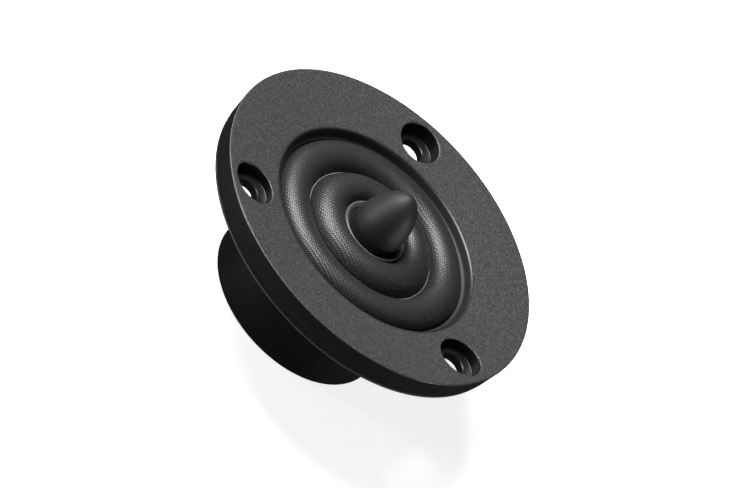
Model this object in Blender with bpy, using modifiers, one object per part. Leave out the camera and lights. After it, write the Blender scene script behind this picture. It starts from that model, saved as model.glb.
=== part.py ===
"""A 26 mm dual-ring-radiator car tweeter, standing on the flat rear face of its can.

Frame: metres, origin at the centre of the rear face, +Z along the acoustic axis towards the listener.
Most pieces are turned about Z; every level is stacked up from the rear face and every radius is worked
outwards or inwards from the voice coil, so a changed size carries its neighbours with it.
"""

from math import cos, pi, radians, sin

import bmesh
import bpy

MM = 0.001

# ---- driving dimensions -------------------------------------------------------------------------
COIL_RADIUS = 13.05 * MM          # inside of the coil former
FORMER_WALL = 0.25 * MM
WINDING_BUILD = 0.40 * MM         # radial build of the copper layers
WINDING_HEIGHT = 2.20 * MM

MAGNET_THICKNESS = 4.80 * MM
MAGNET_INSET = 0.90 * MM          # the magnet is this much smaller than the washer on it
MAGNET_BORE = 3.00 * MM
WASHER_THICKNESS = 2.80 * MM
SHORTING_WALL = 0.25 * MM
YOKE_BASE = 3.00 * MM
YOKE_WALL = 2.10 * MM
YOKE_VENT_RADIUS = 0.80 * MM
YOKE_VENTS = 6

CAN_WALL = 1.15 * MM
CAN_BASE = 1.40 * MM
CAN_EDGE = 0.60 * MM              # bevel round the rear face
CHAMBER_DEPTH = 4.96 * MM         # air space between can and yoke

LIP_THICKNESS = 1.15 * MM         # the chassis lip that the yoke is pushed up against
LIP_OVERLAP = 0.80 * MM
SEAT_HEIGHT = 2.00 * MM           # from the lip up to the diaphragm's seat
COLLAR_WALL = 2.95 * MM
COLLAR_HEIGHT = 5.60 * MM         # below the lip
CHASSIS_FLANGE = 2.10 * MM

DIAPHRAGM_WALL = 0.30 * MM
OUTER_ROLL_WIDTH = 6.375 * MM
ROLL_HEIGHT = 2.60 * MM
VALLEY_FLAT = 0.50 * MM           # width of the joint between the two rolls
DIAPHRAGM_LAND = 1.40 * MM        # clamped outside the outer roll
INNER_RISE = 1.00 * MM            # the inner land lies higher than the valley

PLUG_RADIUS = 5.10 * MM
PLUG_HEIGHT = 11.00 * MM          # above the diaphragm's inner land
PLUG_SPIGOT = 4.40 * MM
RING_RADIUS = 6.35 * MM
RING_WIDTH = 0.90 * MM
RING_HEIGHT = 0.65 * MM

VALLEY_DEPTH = 3.79 * MM          # of the valley below the front edge
FACE_WIDTH = 12.00 * MM           # from the recess lip out to the edge
FACE_DISH = 1.50 * MM             # fall of the face from its edge to the recess lip
RECESS_RUN = 0.95 * MM            # width of the recess wall
EDGE_ROUND = 0.25 * MM
RIM_THICKNESS = 4.60 * MM
RIM_DRAFT = 0.50 * MM
RIM_CHAMFER = 0.35 * MM
RIM_LAND = 1.90 * MM              # left round the edge for the gasket
GASKET_THICKNESS = 0.50 * MM
CORING_SKIN = 2.30 * MM           # plastic left under the face where the back is cored out
CORING_WALL = 1.10 * MM
RIB_WIDTH = 1.00 * MM
RIBS_PER_SECTOR = 3

HOLE_COUNT = 3
HOLE_START = radians(-90)
HOLE_RADIUS = 2.20 * MM
COUNTERBORE_RADIUS = 4.10 * MM
HOLE_EDGE = 5.60 * MM             # from the hole's centre out to the edge of the plate
HOLE_LEDGE = 1.60 * MM            # plastic under the screw head
HOLE_WALL = 0.90 * MM             # plastic kept round the hole where it passes the chassis
BOSS_WALL = 1.10 * MM

SCREW_COUNT = 4
SCREW_START = radians(45)
SCREW_RADIUS = 0.80 * MM
SCREW_HEAD_RADIUS = 1.35 * MM
SCREW_HEAD_HEIGHT = 1.00 * MM
SCREW_BITE = 1.70 * MM            # thread length inside the face plate

BOLT_RADIUS = 1.45 * MM
BOLT_HEAD_RADIUS = 2.60 * MM
BOLT_HEAD_HEIGHT = 1.80 * MM
BOLT_BITE = 3.60 * MM             # thread length inside the plug
SOCKET_RADIUS = 1.25 * MM
SOCKET_DEPTH = 1.00 * MM

BOARD_THICKNESS = 1.40 * MM
BOARD_WIDTH = 15.60 * MM
TAB_THICKNESS = 0.60 * MM
TAB_LENGTH = 8.00 * MM
TAB_OFFSET = 4.40 * MM            # of each blade's centre from the middle of the board
FOOT_WIDTH = 5.60 * MM
FOOT_OFFSET = 4.00 * MM
POSITIVE_TAB = 4.80 * MM
NEGATIVE_TAB = 2.80 * MM
RIVET_RADIUS = 0.60 * MM
RIVET_HEAD_RADIUS = 0.95 * MM
RIVET_HEAD_HEIGHT = 0.60 * MM
RIVET_BITE = 1.30 * MM            # of the rivet inside the chassis flange
BLADE_GAP = 0.40 * MM             # between a rivet's head and the blade beside it
LEAD_RADIUS = 0.20 * MM
LEAD_OFFSET = 2.00 * MM           # of each lead's way out from the middle of the board
FELT_THICKNESS = 0.45 * MM
POLE_FELT_THICKNESS = 1.40 * MM
PEDESTAL_FOOT = 1.10 * MM
PEDESTAL_FOOT_RADIUS = 7.90 * MM
PEDESTAL_NECK = 5.20 * MM

# ---- clearances ---------------------------------------------------------------------------------
SEAT_GAP = 0.20 * MM              # between faces that rest on each other
FIT_GAP = 0.25 * MM               # round a piece pushed into another
THREAD_GAP = 0.20 * MM            # round a thread or a rivet
BOND_GAP = 0.06 * MM              # glue between winding and former
INNER_COIL_GAP = 0.25 * MM        # running clearances of the coil
OUTER_COIL_GAP = 0.34 * MM

# ---- fineness -----------------------------------------------------------------------------------
TURNS = 36                        # flats round a turned piece; one count, so that concentric gaps stay even
SMALL_TURNS = 12
ROLL_STEPS = 7
PLUG_STEPS = 8
OVERCUT = 1.0 * MM                # how far a cutter runs past the face that it opens
SHARP_ANGLE = radians(35)

# ---- levels, stacked up from the rear face ------------------------------------------------------
yoke_rear = CAN_BASE + CHAMBER_DEPTH
magnet_rear = yoke_rear + YOKE_BASE + SEAT_GAP
washer_rear = magnet_rear + MAGNET_THICKNESS + SEAT_GAP
washer_front = washer_rear + WASHER_THICKNESS
lip_rear = washer_front + SEAT_GAP
lip_front = lip_rear + LIP_THICKNESS
chassis_front = lip_front + SEAT_HEIGHT
chassis_flange_rear = chassis_front - CHASSIS_FLANGE
collar_rear = lip_rear - COLLAR_HEIGHT
diaphragm_rear = chassis_front + SEAT_GAP
valley_level = diaphragm_rear + DIAPHRAGM_WALL
inner_land = valley_level + INNER_RISE
pedestal_front = inner_land - DIAPHRAGM_WALL - SEAT_GAP
front_level = valley_level + VALLEY_DEPTH
rim_rear = front_level - RIM_THICKNESS
gasket_front = rim_rear - SEAT_GAP
lip_level = front_level - FACE_DISH
bolt_head_front = yoke_rear - SEAT_GAP
bolt_head_rear = bolt_head_front - BOLT_HEAD_HEIGHT
plug_base = inner_land + SEAT_GAP
board_front = chassis_flange_rear - SEAT_GAP
board_rear = board_front - BOARD_THICKNESS
foot_front = board_rear - SEAT_GAP
foot_rear = foot_front - TAB_THICKNESS

# ---- radii, worked out from the voice coil ------------------------------------------------------
former_radius = COIL_RADIUS + FORMER_WALL
winding_radius = former_radius + BOND_GAP + WINDING_BUILD
yoke_bore = winding_radius + OUTER_COIL_GAP
yoke_radius = yoke_bore + YOKE_WALL
can_bore = yoke_radius + FIT_GAP
can_radius = can_bore + CAN_WALL
collar_radius = can_bore + COLLAR_WALL
shorting_radius = COIL_RADIUS - INNER_COIL_GAP
washer_radius = shorting_radius - SHORTING_WALL - FIT_GAP / 2
magnet_radius = washer_radius - MAGNET_INSET
valley_radius = COIL_RADIUS + FORMER_WALL / 2
outer_foot = valley_radius + VALLEY_FLAT / 2 + OUTER_ROLL_WIDTH
diaphragm_radius = outer_foot + DIAPHRAGM_LAND
opening_radius = outer_foot + FIT_GAP
lip_radius = opening_radius + RECESS_RUN
flange_radius = lip_radius + FACE_WIDTH
rim_radius = flange_radius - RIM_DRAFT
screw_circle = diaphragm_radius + FIT_GAP + SCREW_RADIUS + 2 * THREAD_GAP
chassis_radius = screw_circle + SCREW_HEAD_RADIUS
recess_radius = chassis_radius + FIT_GAP
hole_circle = flange_radius - HOLE_EDGE
hole_wall_radius = HOLE_RADIUS + HOLE_WALL
coring_inner = recess_radius + CORING_WALL
coring_outer = rim_radius - RIM_LAND
bolt_hole = BOLT_RADIUS + 1.5 * THREAD_GAP
rivet_row = collar_radius + RIVET_HEAD_RADIUS + THREAD_GAP
terminal_face = rivet_row + RIVET_HEAD_RADIUS + BLADE_GAP + TAB_THICKNESS


# ---- helpers ------------------------------------------------------------------------------------
for old in list(bpy.data.objects):
    bpy.data.objects.remove(old, do_unlink=True)

parts = bpy.data.collections.new("car_tweeter")
cutters = bpy.data.collections.new("cutters")
for collection in (parts, cutters):
    bpy.context.scene.collection.children.link(collection)


def finish(name, colour, roughness, metallic=0.0):
    """A Principled material."""
    material = bpy.data.materials.new(name)
    material.use_nodes = True
    shader = material.node_tree.nodes["Principled BSDF"]
    shader.inputs["Base Color"].default_value = (*colour, 1.0)
    shader.inputs["Roughness"].default_value = roughness
    shader.inputs["Metallic"].default_value = metallic
    return material


def part(name, data, material):
    """A piece of the tweeter."""
    obj = bpy.data.objects.new(name, data)
    obj.data.materials.append(material)
    parts.objects.link(obj)
    return obj


def cutter(name, data):
    """A helper that only removes or adds material."""
    obj = bpy.data.objects.new(name, data)
    obj.hide_render = True
    obj.display_type = "WIRE"
    cutters.objects.link(obj)
    return obj


def outline(profile, closed):
    """A mesh of bare edges through (radius, level) points."""
    mesh = bpy.data.meshes.new("outline")
    edges = [(i, i + 1) for i in range(len(profile) - 1)]
    if closed:
        edges.append((len(profile) - 1, 0))
    mesh.from_pydata([(r, 0.0, z) for r, z in profile], edges, [])
    return mesh


def turn(obj, turns):
    """Turns the object's outline about its Z axis."""
    screw = obj.modifiers.new("turn", "SCREW")
    screw.steps = screw.render_steps = turns
    screw.use_merge_vertices = True
    screw.merge_threshold = 1e-6
    return obj


def turned(name, profile, material, turns=TURNS):
    """A turned piece: closed round a hole, or open when the profile starts and ends on the axis."""
    return turn(part(name, outline(profile, closed=profile[0][0] > 0), material), turns)


def ring(name, inner, outer, rear, front, material):
    """A plain ring of rectangular section."""
    profile = [(outer, front), (outer, rear), (inner, rear), (inner, front)]
    return turned(name, profile, material)


def turned_cutter(name, profile, place=(0.0, 0.0, 0.0), turns=SMALL_TURNS):
    tool = turn(cutter(name, outline(profile, closed=profile[0][0] > 0)), turns)
    tool.location = place
    return tool


def drill(name, radius, rear, front, place, turns=SMALL_TURNS):
    """A cylinder along Z that cuts a hole at place."""
    x, y = place
    profile = [(0.0, front), (radius, front), (radius, rear), (0.0, rear)]
    return turned_cutter(name, profile, (x, y, 0.0), turns)


def box_mesh(low, high):
    """A box between two corners."""
    shape = bmesh.new()
    bmesh.ops.create_cube(shape, size=1.0)
    for vertex in shape.verts:
        for axis in range(3):
            vertex.co[axis] = high[axis] if vertex.co[axis] > 0 else low[axis]
    mesh = bpy.data.meshes.new("box")
    shape.to_mesh(mesh)
    shape.free()
    return mesh


def combine(obj, other, operation="DIFFERENCE"):
    """Cuts the other object from this one, or joins it on."""
    boolean = obj.modifiers.new(other.name, "BOOLEAN")
    boolean.operation = operation
    boolean.solver = "EXACT"
    boolean.object = other


def round_the_axis(radius, count, start):
    """Places evenly spaced on a circle."""
    angles = [start + 2 * pi * i / count for i in range(count)]
    return [(radius * cos(a), radius * sin(a)) for a in angles]


# ---- finishes -----------------------------------------------------------------------------------
grained = finish("grained_black_plastic", (0.045, 0.047, 0.048), 0.62)
satin = finish("satin_black_plastic", (0.020, 0.020, 0.021), 0.38)
gloss = finish("gloss_black_paint", (0.010, 0.010, 0.011), 0.25)
weave = finish("coated_fabric", (0.060, 0.061, 0.062), 0.55)
foam = finish("black_foam", (0.015, 0.015, 0.015), 0.95)
felt = finish("grey_felt", (0.160, 0.160, 0.150), 1.00)
steel = finish("zinc_steel", (0.560, 0.570, 0.580), 0.35, 1.0)
nickel = finish("nickel_plate", (0.620, 0.600, 0.560), 0.25, 1.0)
copper = finish("copper", (0.720, 0.320, 0.160), 0.35, 1.0)
aluminium = finish("aluminium", (0.800, 0.800, 0.810), 0.40, 1.0)
brass = finish("tinned_brass", (0.720, 0.690, 0.600), 0.30, 1.0)
laminate = finish("brown_laminate", (0.190, 0.090, 0.040), 0.60)
black_screw = finish("black_screw", (0.020, 0.020, 0.022), 0.40, 1.0)


# ---- motor --------------------------------------------------------------------------------------
def rear_can():
    """A plain cup whose floor is the rear face."""
    top = collar_rear - SEAT_GAP
    profile = [
        (0.0, CAN_BASE),
        (can_bore, CAN_BASE),
        (can_bore, top),
        (can_radius, top),
        (can_radius, CAN_EDGE),
        (can_radius - CAN_EDGE, 0.0),
        (0.0, 0.0),
    ]
    turned("rear_can", profile, gloss)
    ring("chamber_felt", BOLT_HEAD_RADIUS, can_bore - FIT_GAP, CAN_BASE + SEAT_GAP,
         bolt_head_rear - SEAT_GAP, felt)


def yoke_cup():
    """The steel pot: a floor with the bolt's hole and a wall round the coil gap, vented into the can."""
    floor = yoke_rear + YOKE_BASE
    profile = [
        (yoke_radius, washer_front),
        (yoke_radius, yoke_rear),
        (bolt_hole, yoke_rear),
        (bolt_hole, floor),
        (yoke_bore, floor),
        (yoke_bore, washer_front),
    ]
    yoke = turned("yoke_cup", profile, steel)
    vent_circle = (magnet_radius + yoke_bore) / 2
    for i, place in enumerate(round_the_axis(vent_circle, YOKE_VENTS, 0.0)):
        vent = drill(f"yoke_vent_{i + 1}", YOKE_VENT_RADIUS, yoke_rear - OVERCUT, floor + OVERCUT, place)
        combine(yoke, vent)


def magnet_stack():
    """Magnet, washer and copper sleeve inside the coil, with the felt that damps the space over them."""
    ring("magnet", MAGNET_BORE, magnet_radius, magnet_rear, magnet_rear + MAGNET_THICKNESS, nickel)
    ring("pole_washer", bolt_hole, washer_radius, washer_rear, washer_front, steel)
    ring("shorting_sleeve", shorting_radius - SHORTING_WALL, shorting_radius, washer_rear, washer_front, copper)
    felt_rear = washer_front + SEAT_GAP
    ring("pole_felt", PEDESTAL_FOOT_RADIUS + FIT_GAP, washer_radius, felt_rear,
         felt_rear + POLE_FELT_THICKNESS, felt)


def voice_coil():
    """The former, glued to the valley of the diaphragm, and its winding centred in the magnetic gap."""
    middle = (washer_rear + washer_front) / 2
    winding_rear = middle - WINDING_HEIGHT / 2
    ring("coil_former", COIL_RADIUS, former_radius, winding_rear - FORMER_WALL,
         diaphragm_rear - BOND_GAP, aluminium)
    ring("coil_winding", former_radius + BOND_GAP, winding_radius, winding_rear,
         winding_rear + WINDING_HEIGHT, copper)


def centre_bolt():
    """The hex-socket bolt that clamps yoke, magnet, washer, pedestal and plug together."""
    tip = plug_base + BOLT_BITE
    socket = bolt_head_rear + SOCKET_DEPTH
    profile = [
        (0.0, tip),
        (BOLT_RADIUS, tip),
        (BOLT_RADIUS, bolt_head_front),
        (BOLT_HEAD_RADIUS, bolt_head_front),
        (BOLT_HEAD_RADIUS, bolt_head_rear),
        (0.0, bolt_head_rear),
    ]
    bolt = turned("centre_bolt", profile, steel, SMALL_TURNS)
    hexagon = drill("bolt_socket", SOCKET_RADIUS, bolt_head_rear - OVERCUT, socket, (0.0, 0.0), 6)
    combine(bolt, hexagon)


# ---- diaphragm and centre -----------------------------------------------------------------------
def roll(inner, outer, inner_level, outer_level):
    """Points along a half roll: a semi-ellipse on a base line that may slope."""
    points = []
    for i in range(ROLL_STEPS + 1):
        turn_angle = pi * i / ROLL_STEPS
        share = (1 - cos(turn_angle)) / 2
        base = inner_level + (outer_level - inner_level) * share
        points.append((inner + (outer - inner) * share, base + ROLL_HEIGHT * sin(turn_angle)))
    return points


def diaphragm():
    """The double half-roll, held at its centre and its edge and driven at the valley in between."""
    top = [(PLUG_SPIGOT + FIT_GAP, inner_land)]
    top += roll(RING_RADIUS + FIT_GAP, valley_radius - VALLEY_FLAT / 2, inner_land, valley_level)
    top += roll(valley_radius + VALLEY_FLAT / 2, outer_foot, valley_level, valley_level)
    top += [(diaphragm_radius, valley_level)]
    underside = [(r, z - DIAPHRAGM_WALL) for r, z in top]
    turned("diaphragm", top + underside[::-1], weave)


def inner_pedestal():
    """The moulded spacer that carries the diaphragm's inner land."""
    foot = washer_front + SEAT_GAP
    seat = pedestal_front - DIAPHRAGM_WALL * 2
    profile = [
        (RING_RADIUS, pedestal_front),
        (RING_RADIUS, seat),
        (PEDESTAL_NECK, seat - (RING_RADIUS - PEDESTAL_NECK)),
        (PEDESTAL_NECK, foot + PEDESTAL_FOOT),
        (PEDESTAL_FOOT_RADIUS, foot + PEDESTAL_FOOT / 2),
        (PEDESTAL_FOOT_RADIUS, foot),
        (bolt_hole, foot),
        (bolt_hole, pedestal_front),
    ]
    turned("inner_pedestal", profile, satin)


def plug_ring():
    """The bezel that holds the diaphragm down round the plug, with its edges broken."""
    rear = inner_land + SEAT_GAP
    front = rear + RING_HEIGHT
    inner = RING_RADIUS - RING_WIDTH
    broken = RING_HEIGHT / 4
    profile = [
        (RING_RADIUS - broken, front),
        (RING_RADIUS, front - broken),
        (RING_RADIUS, rear),
        (inner, rear),
        (inner, front - broken),
        (inner + broken, front),
    ]
    turned("plug_ring", profile, gloss)


def phase_plug():
    """A bullet with a spigot below it and a blind hole for the bolt."""
    bullet = []
    for i in range(PLUG_STEPS + 1):
        height = sin(pi / 2 * (1 - i / PLUG_STEPS))
        radius = PLUG_RADIUS * (1 - height**2.4) ** 0.6
        bullet.append((radius, plug_base + PLUG_HEIGHT * height))
    spigot_rear = pedestal_front + SEAT_GAP
    hole_front = plug_base + BOLT_BITE + OVERCUT
    bore = [
        (PLUG_SPIGOT, plug_base),
        (PLUG_SPIGOT, spigot_rear),
        (bolt_hole, spigot_rear),
        (bolt_hole, hole_front),
        (0.0, hole_front + bolt_hole),
    ]
    turned("phase_plug", bullet + bore, satin)


# ---- chassis ------------------------------------------------------------------------------------
def chassis_ring():
    """The moulded ring that grips the yoke, seats the diaphragm and carries the terminals."""
    lip_bore = yoke_radius - YOKE_WALL + LIP_OVERLAP
    seat_inner = collar_radius - FIT_GAP
    profile = [
        (chassis_radius, chassis_front),
        (chassis_radius, chassis_flange_rear),
        (collar_radius, chassis_flange_rear),
        (collar_radius, collar_rear),
        (can_bore, collar_rear),
        (can_bore, lip_rear),
        (lip_bore, lip_rear),
        (lip_bore, lip_front),
        (seat_inner - SEAT_HEIGHT / 3, lip_front),
        (seat_inner, chassis_front),
    ]
    chassis = turned("chassis_ring", profile, satin)
    rear = chassis_flange_rear - OVERCUT
    pilot = SCREW_RADIUS + THREAD_GAP
    for i, place in enumerate(round_the_axis(screw_circle, SCREW_COUNT, SCREW_START)):
        combine(chassis, drill(f"chassis_screw_hole_{i + 1}", pilot, rear, chassis_front + OVERCUT, place))
    scallop = hole_wall_radius + FIT_GAP
    for i, place in enumerate(round_the_axis(hole_circle, HOLE_COUNT, HOLE_START)):
        combine(chassis, drill(f"scallop_{i + 1}", scallop, rear, chassis_front + OVERCUT, place, 2 * SMALL_TURNS))
    for side, name in ((-1, "positive"), (1, "negative")):
        lead_x = side * LEAD_OFFSET
        half = LEAD_RADIUS + FIT_GAP
        low = (lead_x - half, lip_bore, lip_front + SEAT_GAP)
        high = (lead_x + half, rivet_row + half, chassis_front + OVERCUT)
        combine(chassis, cutter(f"lead_slot_{name}", box_mesh(low, high)))
        lead_hole = drill(f"lead_hole_{name}", half, rear, chassis_front, (lead_x, rivet_row))
        combine(chassis, lead_hole)
        rivet_end = chassis_flange_rear + RIVET_BITE + SEAT_GAP
        rivet_hole = drill(f"rivet_hole_{name}", RIVET_RADIUS + THREAD_GAP, rear, rivet_end,
                           (side * TAB_OFFSET, rivet_row))
        combine(chassis, rivet_hole)
    felt_rear = lip_front + SEAT_GAP
    ring("surround_felt", lip_bore, seat_inner - SEAT_HEIGHT / 3 - FIT_GAP, felt_rear,
         felt_rear + FELT_THICKNESS, felt)


def chassis_screws():
    """The screws that hold the chassis ring up against the face plate."""
    head_front = chassis_flange_rear - SEAT_GAP
    tip = chassis_front + SCREW_BITE
    profile = [
        (0.0, tip),
        (SCREW_RADIUS / 2, tip),
        (SCREW_RADIUS, tip - SCREW_RADIUS),
        (SCREW_RADIUS, head_front),
        (SCREW_HEAD_RADIUS, head_front),
        (SCREW_HEAD_RADIUS, head_front - SCREW_HEAD_HEIGHT / 2),
        (SCREW_HEAD_RADIUS / 2, head_front - SCREW_HEAD_HEIGHT),
        (0.0, head_front - SCREW_HEAD_HEIGHT),
    ]
    for i, (x, y) in enumerate(round_the_axis(screw_circle, SCREW_COUNT, SCREW_START)):
        screw = turned(f"chassis_screw_{i + 1}", profile, black_screw, SMALL_TURNS)
        screw.location = (x, y, 0.0)


# ---- face plate ---------------------------------------------------------------------------------
def coring_tool():
    """The ring cored out of the plate's back, less the bosses round the holes and the ribs between them."""
    core_front = lip_level - CORING_SKIN + FACE_DISH / 2
    profile = [
        (coring_outer, core_front),
        (coring_outer, rim_rear - OVERCUT),
        (coring_inner, rim_rear - OVERCUT),
        (coring_inner, core_front),
    ]
    tool = turned_cutter("coring_tool", profile, turns=TURNS)
    low, high = rim_rear - 2 * OVERCUT, front_level
    boss = COUNTERBORE_RADIUS + BOSS_WALL
    for i, place in enumerate(round_the_axis(hole_circle, HOLE_COUNT, HOLE_START)):
        combine(tool, drill(f"boss_{i + 1}", boss, low, high, place, 2 * SMALL_TURNS))
    sector = 2 * pi / HOLE_COUNT
    for i in range(HOLE_COUNT):
        for j in range(RIBS_PER_SECTOR):
            angle = HOLE_START + sector * (i + (j + 1) / (RIBS_PER_SECTOR + 1))
            rib = cutter(f"rib_{i + 1}_{j + 1}", box_mesh(
                (coring_inner - OVERCUT, -RIB_WIDTH / 2, low),
                (coring_outer + OVERCUT, RIB_WIDTH / 2, high),
            ))
            rib.rotation_euler.z = angle
            combine(tool, rib)
    return tool


def face_plate():
    """The dished round plate: recess lip and wall in front, chassis recess and coring behind."""
    land_rear = valley_level + SEAT_GAP
    recess_front = chassis_front + SEAT_GAP
    land_edge = diaphragm_radius + FIT_GAP
    wall_foot = land_rear + SEAT_GAP * 2
    profile = [
        (lip_radius + EDGE_ROUND * 3, lip_level),
        (flange_radius - 2 * EDGE_ROUND, front_level),
        (flange_radius - EDGE_ROUND / 3, front_level - EDGE_ROUND / 3),
        (flange_radius, front_level - EDGE_ROUND),
        (rim_radius, rim_rear + RIM_CHAMFER),
        (rim_radius - RIM_CHAMFER, rim_rear),
        (recess_radius, rim_rear),
        (recess_radius, recess_front),
        (land_edge, recess_front),
        (land_edge, land_rear),
        (opening_radius, land_rear),
        (opening_radius, wall_foot),
        (opening_radius + RECESS_RUN * 0.55, wall_foot + (lip_level - wall_foot) * 0.30),
        (lip_radius - RECESS_RUN * 0.08, wall_foot + (lip_level - wall_foot) * 0.70),
        (lip_radius + EDGE_ROUND, lip_level - EDGE_ROUND / 2),
    ]
    plate = turned("face_plate", profile, grained)
    combine(plate, coring_tool())
    ledge = rim_rear + HOLE_LEDGE
    hole_places = round_the_axis(hole_circle, HOLE_COUNT, HOLE_START)
    for i, place in enumerate(hole_places):
        wall = drill(f"hole_wall_{i + 1}", hole_wall_radius, rim_rear + SEAT_GAP, ledge, place, 2 * SMALL_TURNS)
        combine(plate, wall, "UNION")
    screw_hole = [
        (COUNTERBORE_RADIUS, front_level + OVERCUT),
        (COUNTERBORE_RADIUS, ledge),
        (HOLE_RADIUS, ledge),
        (HOLE_RADIUS, rim_rear - OVERCUT),
    ]
    screw_hole = [(0.0, front_level + OVERCUT), *screw_hole, (0.0, rim_rear - OVERCUT)]
    for i, (x, y) in enumerate(hole_places):
        combine(plate, turned_cutter(f"screw_hole_{i + 1}", screw_hole, (x, y, 0.0), 2 * SMALL_TURNS))
    pilot_front = chassis_front + SCREW_BITE + SEAT_GAP
    pilot = SCREW_RADIUS + THREAD_GAP
    for i, place in enumerate(round_the_axis(screw_circle, SCREW_COUNT, SCREW_START)):
        combine(plate, drill(f"pilot_{i + 1}", pilot, recess_front - OVERCUT, pilot_front, place))
    ring("flange_gasket", coring_outer + FIT_GAP, rim_radius - RIM_CHAMFER / 2,
         gasket_front - GASKET_THICKNESS, gasket_front, foam)


# ---- terminals ----------------------------------------------------------------------------------
def terminal_board():
    """The laminate board under the chassis flange, drilled for the rivets and the leads."""
    low = (-BOARD_WIDTH / 2, collar_radius + FIT_GAP, board_rear)
    high = (BOARD_WIDTH / 2, terminal_face, board_front)
    board = part("terminal_board", box_mesh(low, high), laminate)
    for side, name in ((-1, "positive"), (1, "negative")):
        below, above = board_rear - OVERCUT, board_front + OVERCUT
        lead = (side * LEAD_OFFSET, rivet_row)
        rivet = (side * TAB_OFFSET, rivet_row)
        combine(board, drill(f"board_lead_hole_{name}", LEAD_RADIUS + FIT_GAP, below, above, lead))
        combine(board, drill(f"board_rivet_hole_{name}", RIVET_RADIUS + THREAD_GAP, below, above, rivet))


def terminal(name, side, width):
    """A bent tab: its foot is riveted under the board and its blade points rearwards."""
    foot_low = (side * FOOT_OFFSET - FOOT_WIDTH / 2, collar_radius + FIT_GAP, foot_rear)
    foot_high = (side * FOOT_OFFSET + FOOT_WIDTH / 2, terminal_face, foot_front)
    tab = part(f"terminal_{name}", box_mesh(foot_low, foot_high), brass)
    blade_low = (side * TAB_OFFSET - width / 2, terminal_face - TAB_THICKNESS, foot_rear - TAB_LENGTH)
    blade_high = (side * TAB_OFFSET + width / 2, terminal_face, (foot_rear + foot_front) / 2)
    combine(tab, cutter(f"blade_{name}", box_mesh(blade_low, blade_high)), "UNION")
    hole = (side * TAB_OFFSET, rivet_row)
    drilled = drill(f"foot_hole_{name}", RIVET_RADIUS + THREAD_GAP, foot_rear - OVERCUT,
                    foot_front + OVERCUT, hole)
    combine(tab, drilled)
    head_front = foot_rear - SEAT_GAP
    end = chassis_flange_rear + RIVET_BITE
    profile = [
        (0.0, end),
        (RIVET_RADIUS, end),
        (RIVET_RADIUS, head_front),
        (RIVET_HEAD_RADIUS, head_front),
        (RIVET_HEAD_RADIUS / 2, head_front - RIVET_HEAD_HEIGHT),
        (0.0, head_front - RIVET_HEAD_HEIGHT),
    ]
    rivet = turned(f"rivet_{name}", profile, brass, SMALL_TURNS)
    rivet.location = (*hole, 0.0)


def lead_wire(name, side):
    """The flexible lead from the coil over the chassis lip and down through the board."""
    over_lip = lip_front + 2 * SEAT_GAP + FELT_THICKNESS + LEAD_RADIUS
    start = former_radius + FIT_GAP + LEAD_RADIUS
    x = side * LEAD_OFFSET
    route = [
        (x, start, over_lip - 2 * LEAD_RADIUS),
        (x, yoke_bore, over_lip),
        (x, (yoke_bore + rivet_row) / 2, over_lip + LEAD_RADIUS),
        (x, rivet_row - 4 * LEAD_RADIUS, over_lip + LEAD_RADIUS / 2),
        (x, rivet_row - LEAD_RADIUS, over_lip - LEAD_RADIUS),
        (x, rivet_row, over_lip - 4 * LEAD_RADIUS),
        (x, rivet_row, foot_front + SEAT_GAP),
    ]
    curve = bpy.data.curves.new(f"lead_wire_{name}", "CURVE")
    curve.dimensions = "3D"
    curve.bevel_depth = LEAD_RADIUS
    curve.bevel_resolution = 1
    curve.use_fill_caps = True
    spline = curve.splines.new("POLY")
    spline.points.add(len(route) - 1)
    for point, place in zip(spline.points, route):
        point.co = (*place, 1.0)
    part(f"lead_wire_{name}", curve, copper)


def shade():
    """Bakes each turned or drilled piece and shades it smooth between its sharp edges."""
    graph = bpy.context.evaluated_depsgraph_get()
    for obj in parts.objects:
        if obj.type != "MESH":
            continue
        mesh = bpy.data.meshes.new_from_object(obj.evaluated_get(graph))
        obj.modifiers.clear()
        obj.data = mesh
        mesh.shade_smooth()
        mesh.set_sharp_from_angle(angle=SHARP_ANGLE)


rear_can()
yoke_cup()
magnet_stack()
voice_coil()
centre_bolt()
diaphragm()
inner_pedestal()
plug_ring()
phase_plug()
chassis_ring()
chassis_screws()
face_plate()
terminal_board()
terminal("positive", -1, POSITIVE_TAB)
terminal("negative", 1, NEGATIVE_TAB)
lead_wire("positive", -1)
lead_wire("negative", 1)
shade()
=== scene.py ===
# %% [markdown]
# # A car tweeter with a double-roll diaphragm
#
# The object is small: 66 mm across, with a grained black face plate, a fabric diaphragm formed into two
# rings round a pointed plug, and a smooth black can behind. Its sizes, its mounts and the travel of its
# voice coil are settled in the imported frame. This script makes only the looks. Almost every piece of it
# is turned on a lathe or moulded round, so the script first builds one small lathe out of Geometry Nodes
# and then gives it one profile after another.

# %% Load the frame
import math

import bmesh
import bpy
import numpy as np
from mathutils import Matrix, Quaternion, Vector


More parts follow.
